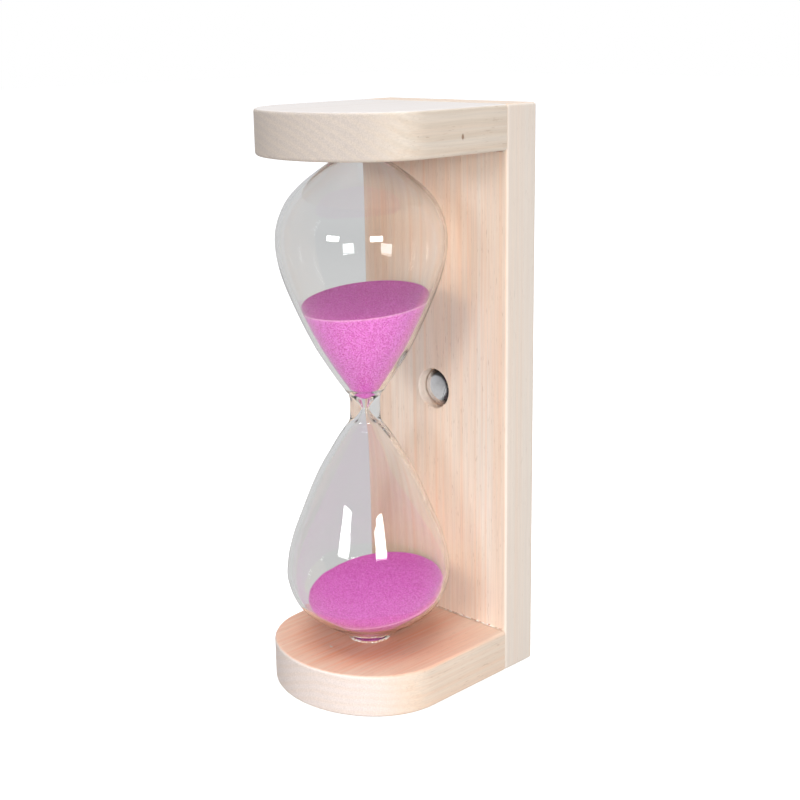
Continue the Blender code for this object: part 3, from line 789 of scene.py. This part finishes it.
def make_glue_ring(name, replaced, face_height, into_shelf, mat):
    """Bead of dried glue between the glass stem and its pocket, with an uneven lip."""
    outer = POCKET_RADIUS - 0.0001
    inner, foot = GLUE_LIP_RADIUS, GLUE_FOOT_RADIUS
    depth = POCKET_DEPTH - GAP
    proud = GLUE_PROUD

    def ragged(radius, z, angle):
        unevenness = 0.00022 if abs(z - face_height) < proud * 1.5 else 0.0
        around = Vector((math.cos(angle), math.sin(angle), 0))
        return noise.noise(around * 9.0 + Vector((0, 0, radius * 900))) * unevenness - 0.0001

    section = [
        (inner + 0.0002, -proud * 0.7), (inner + 0.0006, -proud), (outer - 0.0003, -proud * 0.8),
        (outer, -0.0001), (outer, depth), (foot, depth), (foot + 0.0003, depth * 0.4),
    ]
    profile = [(radius, face_height + into_shelf * sunk) for radius, sunk in section]
    bm = lathe(profile, 120, closed=True, wobble=ragged)
    add_piece(name, bm, mat, "frame", replaced, sharp=60)


def swept_skin(bm, rings):
    """Joins a row of rings into one closed skin with flat ends."""
    count = len(rings[0])
    for one, other in zip(rings, rings[1:]):
        for side in range(count):
            after = (side + 1) % count
            bm.faces.new((one[side], one[after], other[after], other[side]))
    bm.faces.new(rings[0])
    bm.faces.new(rings[-1][::-1])


def make_joint_glue(name, z, upward, mat):
    """Squeezed-out glue along the corner between a shelf's face and the board, of uneven thickness."""
    steps = 260
    around = 7
    half_length = HALF_WIDTH - 0.0015
    rear = BOARD_FRONT + 0.0002
    bm = bmesh.new()
    rings = []
    for step in range(steps + 1):
        x = half_length * (2 * step / steps - 1)
        broad = noise.noise(Vector((x * 420, z * 90, 3.1)))
        fine = noise.noise(Vector((x * 1300, z * 90, 8.7)))
        size = JOINT_GLUE_THINNEST + JOINT_GLUE_SPREAD * max(0.0, broad * 0.5 + fine * 0.5)
        ring = []
        for side in range(around):
            angle = math.pi * (1 + side / (around - 1))
            out = size * (1 + 0.25 * noise.noise(Vector((x * 2000, side, z * 50))))
            y = rear - abs(math.sin(angle)) * out
            rise = 0.0002 + (1 + math.cos(angle)) * 0.5 * out
            ring.append(bm.verts.new((x, y, z + upward * rise)))
        ring.append(bm.verts.new((x, rear, z - upward * 0.0004)))
        rings.append(ring)
    swept_skin(bm, rings)
    add_piece(name, bm, mat, "frame", sharp=60)


def make_lifted_fibre(mat):
    """A short splinter standing off the upper face of the bottom shelf."""
    steps = 10
    bm = bmesh.new()
    rings = []
    for step in range(steps + 1):
        share = step / steps
        half = FIBRE_HALF_WIDTH * math.sin(math.pi * (0.12 + 0.86 * share))
        along = FIBRE_LENGTH * (share - 0.5)
        centre = FIBRE_PLACE + Vector((along * 0.9, -along * 0.35, FIBRE_LIFT * share**2))
        corners = ((-half, -0.00012), (half, -0.00012), (half * 0.4, 0.0002), (-half * 0.4, 0.0002))
        rings.append([bm.verts.new(centre + Vector((0.3 * a, a, b))) for a, b in corners])
    swept_skin(bm, rings)
    add_piece("lifted_fibre", bm, mat, "frame", sharp=60)


# ---- screws and pivot -------------------------------------------------------------------------------
def screw_skin(outline, crest, core, turns, tip):
    """Head and shank, then a helical V thread and a point, as one closed skin along -Z."""
    steps = 32
    bm = bmesh.new()

    def spoke(step, radius, z):
        angle = math.tau * step / steps
        return bm.verts.new((radius * math.cos(angle), -radius * math.sin(angle), z))

    rings = [[spoke(step, radius, z) for step in range(steps)] for radius, z in outline]
    bm.faces.new(rings[0])
    for upper, lower in zip(rings, rings[1:]):
        for step in range(steps):
            after = (step + 1) % steps
            bm.faces.new((upper[step], upper[after], lower[after], lower[step]))

    last = turns * steps
    top = outline[-1][1] - THREAD_DEPTH
    drop = THREAD_PITCH / steps
    roots = [spoke(step, core, top - drop * step) for step in range(last + steps + 1)]
    crests = [spoke(step, crest, top - drop * step - THREAD_PITCH / 2) for step in range(last + 1)]
    for step in range(steps):
        after = (step + 1) % steps
        bm.faces.new((rings[-1][step], rings[-1][after], roots[step + 1], roots[step]))
    bm.faces.new((rings[-1][0], roots[0], crests[0], roots[steps]))
    for k in range(last):
        below = k + steps
        bm.faces.new((roots[k], roots[k + 1], crests[k + 1], crests[k]))
        bm.faces.new((crests[k], crests[k + 1], roots[below + 1], roots[below]))
    point = bm.verts.new((0, 0, tip))
    for k in range(last, last + steps):
        bm.faces.new((roots[k], roots[k + 1], point))
    bm.faces.new((point, roots[last], crests[last], roots[-1]))
    return bm


def cross_tool(head_radius, matrix):
    """Cutter for a tapered cross recess, centred on the head's face at z = 0."""
    arm = head_radius * 0.6
    half = head_radius * 0.144
    depth = head_radius * 0.5
    bm = bmesh.new()
    corners = []
    for quarter in range(4):
        turn = Matrix.Rotation(math.radians(90 * quarter), 3, "Z")
        quarter_corners = ((arm, -half, 0), (arm, half, 0), (half, half, 0))
        corners += [turn @ Vector(corner) for corner in quarter_corners]
    face = bm.faces.new([bm.verts.new(corner + Vector((0, 0, depth))) for corner in corners])
    deep = bmesh.ops.extrude_face_region(bm, geom=[face])
    deep_verts = [item for item in deep["geom"] if isinstance(item, bmesh.types.BMVert)]
    bmesh.ops.scale(bm, vec=(0.5, 0.5, 1), verts=deep_verts)
    bmesh.ops.translate(bm, vec=(0, 0, -2 * depth), verts=deep_verts)
    return tool("cross_recess", bm, matrix)


def make_screw(name, replaced, body, screw, place, mat):
    """Countersunk cross-head wood screw along the place's -Z."""
    head, radius, length = screw["head"], screw["radius"], screw["length"]
    shank = radius * SHANK_SHARE
    neck = HEAD_EDGE + head - shank
    thread_top = length * (1 - screw["thread"])
    outline = [(head - 0.0001, 0.0), (head, -0.0001), (head, -HEAD_EDGE)]
    outline += [(shank, -neck), (shank, -thread_top)]
    turns = int((length * screw["thread"] - 2 * radius) / THREAD_PITCH) - 1
    bm = screw_skin(outline, radius, radius - THREAD_DEPTH, turns, -length)
    bmesh.ops.transform(bm, matrix=place, verts=bm.verts)
    piece = add_piece(name, bm, mat, body, replaced)
    cut(piece, [cross_tool(head, place)])


def turned_piece(name, replaced, body, profile, place, mat, closed=False, steps=96):
    bm = lathe(profile, steps, closed)
    bmesh.ops.transform(bm, matrix=place, verts=bm.verts)
    add_piece(name, bm, mat, body, replaced)


def crown(radius, height, steps):
    """Quarter-ellipse dome from the crown on the axis down to the rim, as (radius, z)."""
    points = []
    for step in range(steps + 1):
        angle = math.pi / 2 * step / steps
        points.append((radius * math.sin(angle), CAP_RIM + (height - CAP_RIM) * math.cos(angle)))
    return points


def make_cap(mat):
    radius = CAP_HIGH.x
    height = SEAT - CAP_LOW.y
    lift = SEAT - CAP_HIGH.y
    inner = radius - CAP_WALL
    profile = crown(radius, height, 28) + [(radius, lift), (inner, lift)]
    profile += crown(inner, height - CAP_WALL, 12)[::-1]
    turned_piece("cap_polished", "pivot_cap", "wall_fixing", profile, pivot_place(SEAT), mat)


def make_cup(mat):
    """Washer with a cone for the screw's head."""
    front = SEAT - CUP_LOW.y
    radius = CUP_HIGH.x
    cone_front = PIVOT_SCREW["head"] + CONE_CLEARANCE
    cone_rear = cone_front - (front - GAP)
    profile = [(cone_rear, GAP), (radius - EDGE_BREAK, GAP), (radius, GAP + EDGE_BREAK)]
    profile += [(radius, front - EDGE_BREAK), (radius - EDGE_BREAK, front), (cone_front, front)]
    place = pivot_place(SEAT)
    turned_piece("cup_washer", "pivot_cap_base", "wall_fixing", profile, place, mat, closed=True)


def make_spacer(mat):
    """Moulded washer behind the board, with rounded edges."""
    thickness = SPACER_HIGH.y - SPACER_LOW.y
    radius = SPACER_HIGH.x
    bore = PIVOT_SCREW["radius"] + SCREW_CLEARANCE
    soft = EDGE_BREAK * 0.3
    profile = [(bore, 0.0), (radius - EDGE_BREAK, 0.0), (radius - soft, -soft), (radius, -EDGE_BREAK)]
    profile += [(radius, EDGE_BREAK - thickness), (radius - soft, soft - thickness)]
    profile += [(radius - EDGE_BREAK, -thickness), (bore, -thickness)]
    place = pivot_place(SPACER_LOW.y)
    turned_piece("spacer_moulded", "rear_spacer", "wall_fixing", profile, place, mat, closed=True)


def make_plug(mat):
    """Stopper in the filling hole, with a slightly domed head."""
    radius = PLUG_HIGH.x
    low, high = PLUG_LOW.z, PLUG_HIGH.z
    profile = [(0.0, low), (radius - 0.0003, low), (radius, low + 0.0006), (radius, high - 0.0003)]
    profile += [(radius - 0.0001, high - 0.00015), (radius - 0.0004, high - 0.00004), (0.0, high)]
    place = Matrix()
    turned_piece("stopper_moulded", "filling_plug", "frame", profile, place, mat, steps=48)


# ---- stage, light and camera ----------------------------------------------------------------------
def make_floor():
    m = Maker("floor_white")
    mottle = m.noise(m.place(), 6.0, 2.0)
    colour = m.mix(mottle, (0.90, 0.90, 0.90), (0.93, 0.93, 0.93))
    m.finish(Base_Color=colour, Roughness=0.9, Emission_Color=(1, 1, 1, 1), Emission_Strength=0.75)
    bm = bmesh.new()
    bmesh.ops.create_grid(bm, x_segments=2, y_segments=2, size=FLOOR_REACH)
    mesh = bpy.data.meshes.new("floor")
    bm.to_mesh(mesh)
    bm.free()
    mesh.materials.append(m.material)
    floor = bpy.data.objects.new("floor", mesh)
    floor.location.z = -FLOOR_DROP
    floor.visible_transmission = False
    floor.visible_glossy = False
    floor.visible_diffuse = False
    bpy.context.scene.collection.objects.link(floor)


def softbox(name, azimuth, elevation, away, size, radiance, colour=(1, 1, 1), aim=MID_HEIGHT, in_view=True):
    """One light of LIGHTS; out of view, it lights surfaces but isn't mirrored in them."""
    azimuth, elevation = math.radians(azimuth), math.radians(elevation)
    level = math.cos(elevation)
    way = Vector((math.sin(azimuth) * level, -math.cos(azimuth) * level, math.sin(elevation)))
    data = bpy.data.lights.new(name, "AREA")
    data.shape = "RECTANGLE"
    data.size, data.size_y = size
    data.energy = radiance * math.pi * size[0] * size[1]
    data.color = colour
    light = bpy.data.objects.new(name, data)
    light.location = Vector((0, 0, aim)) + way * away
    light.rotation_euler = (-way).to_track_quat("-Z", "Y").to_euler()
    light.visible_camera = in_view
    light.visible_glossy = in_view
    light.visible_transmission = in_view
    bpy.context.scene.collection.objects.link(light)


def make_world():
    """White to the camera; to the object, a pale backdrop, a darker room in front and a pale floor below."""
    world = bpy.data.worlds.new("studio")
    bpy.context.scene.world = world
    world.use_nodes = True
    n = Nodes(world.node_tree)
    way = n.node("ShaderNodeTexCoord", output="Generated")
    facing = n.vector("DOT_PRODUCT", way, tuple(BACKDROP_WAY), "Value")
    behind = n.node("ShaderNodeMapRange", {"Value": facing, "From Min": -0.5, "From Max": 0.5})
    below = n.spread(n.axis(way, 2), 0.25, -0.65)
    # The floor's colour is only mirrored or seen through the glass, and doesn't light the object.
    mirrored = n.math("SUBTRACT", 1.0, n.node("ShaderNodeLightPath", output="Is Diffuse Ray"))
    below = n.math("MULTIPLY", below, mirrored)
    room = n.mix(below, n.mix(behind, ROOM_IN_FRONT, ROOM_BEHIND), ROOM_BELOW)
    seen = n.node("ShaderNodeLightPath", output="Is Camera Ray")
    n.put(n.tree.nodes["Background"].inputs["Color"], n.mix(seen, room, (1, 1, 1)))


def make_camera():
    forward = Vector((
        -math.sin(CAMERA_AZIMUTH) * math.cos(CAMERA_PITCH),
        math.cos(CAMERA_AZIMUTH) * math.cos(CAMERA_PITCH),
        -math.sin(CAMERA_PITCH),
    ))
    level = Vector((math.cos(CAMERA_AZIMUTH), math.sin(CAMERA_AZIMUTH), 0))
    upright = level.cross(forward)
    right = level * math.cos(CAMERA_ROLL) + upright * math.sin(CAMERA_ROLL)
    up = upright * math.cos(CAMERA_ROLL) - level * math.sin(CAMERA_ROLL)
    data = bpy.data.cameras.new("camera")
    data.sensor_width = SENSOR
    data.lens = CAMERA_LENS
    data.clip_start = 0.01
    camera = bpy.data.objects.new("camera", data)
    turn = Matrix((right, up, -forward)).transposed().to_4x4()
    camera.matrix_world = Matrix.Translation(CAMERA_PLACE) @ turn
    bpy.context.scene.collection.objects.link(camera)
    bpy.context.scene.camera = camera


def main():
    make_camera()
    make_world()
    make_floor()
    for name, light in LIGHTS.items():
        softbox(name, **light)

    board_wood = wood(
        "board_wood_grain", 2, ((0.87, 0.75, 0.64), (0.85, 0.69, 0.56), (0.88, 0.60, 0.41)),
        pith=(0.05, 0.12, 0), seed=3.1, side_tone=(0.86, 0.80, 0.73),
    )
    lower_wood = wood(
        "lower_shelf_grain", 1, ((0.86, 0.72, 0.59), (0.83, 0.65, 0.51), (0.85, 0.60, 0.43)),
        pith=(0.02, 0, -0.06), seed=5.7, end_tone=(0.86, 0.74, 0.68),
        # painted light: a warm glow of bounced light and shade round the glass
        stain_and_glow=((0.97, 0.55, 0.43), 0.024, 0.072),
    )
    upper_wood = wood(
        "upper_shelf_grain", 1, ((0.78, 0.69, 0.59), (0.72, 0.61, 0.49), (0.75, 0.59, 0.45)),
        pith=(-0.03, 0, 0.16), seed=8.3, end_tone=(0.60, 0.52, 0.46),
        # the top face gets a paler colour painted on as a sheen of the light
        mark=PITCH_MARK, painted_top_sheen=(0.88, 0.85, 0.86),
    )
    make_board(board_wood)
    make_shelf("lower_shelf_sanded", SHELF_LOW.z, "bottom_shelf", LOWER_FACE, -1, lower_wood)
    make_shelf("upper_shelf_sanded", TOP_LOW.z, "top_shelf", UPPER_FACE, 1, upper_wood)
    make_lifted_fibre(upper_wood)

    glass = glass_material()
    sand = sand_material()
    glue = glue_material()
    make_glass(glass)
    make_sand("upper_sand_grains", "upper_sand", upper_cavity(), UPPER_SAND, sand)
    make_sand("lower_sand_grains", "lower_sand", lower_cavity(), LOWER_SAND, sand)
    make_glue_ring("lower_glue_bead", "lower_glue_ring", LOWER_FACE, -1, glue)
    make_glue_ring("upper_glue_bead", "upper_glue_ring", UPPER_FACE, 1, glue)
    make_joint_glue("lower_joint_glue", LOWER_FACE, 1, glue)
    make_joint_glue("upper_joint_glue", UPPER_FACE, -1, glue)
    make_plug(stopper_material())

    chrome = chrome_material()
    zinc = zinc_material()
    make_cap(chrome)
    make_cup(chrome)
    pivot = pivot_place(PIVOT_LOW.y)
    make_screw("pivot_screw_threaded", "pivot_screw", "wall_fixing", PIVOT_SCREW, pivot, zinc)
    for number, place in shelf_screw_places().items():
        name = f"shelf_screw_threaded_{number}"
        make_screw(name, f"shelf_screw_{number}", "frame", SHELF_SCREW, place, zinc)
    make_spacer(nylon_material())

    bpy.context.scene.view_settings.view_transform = "Standard"


main()
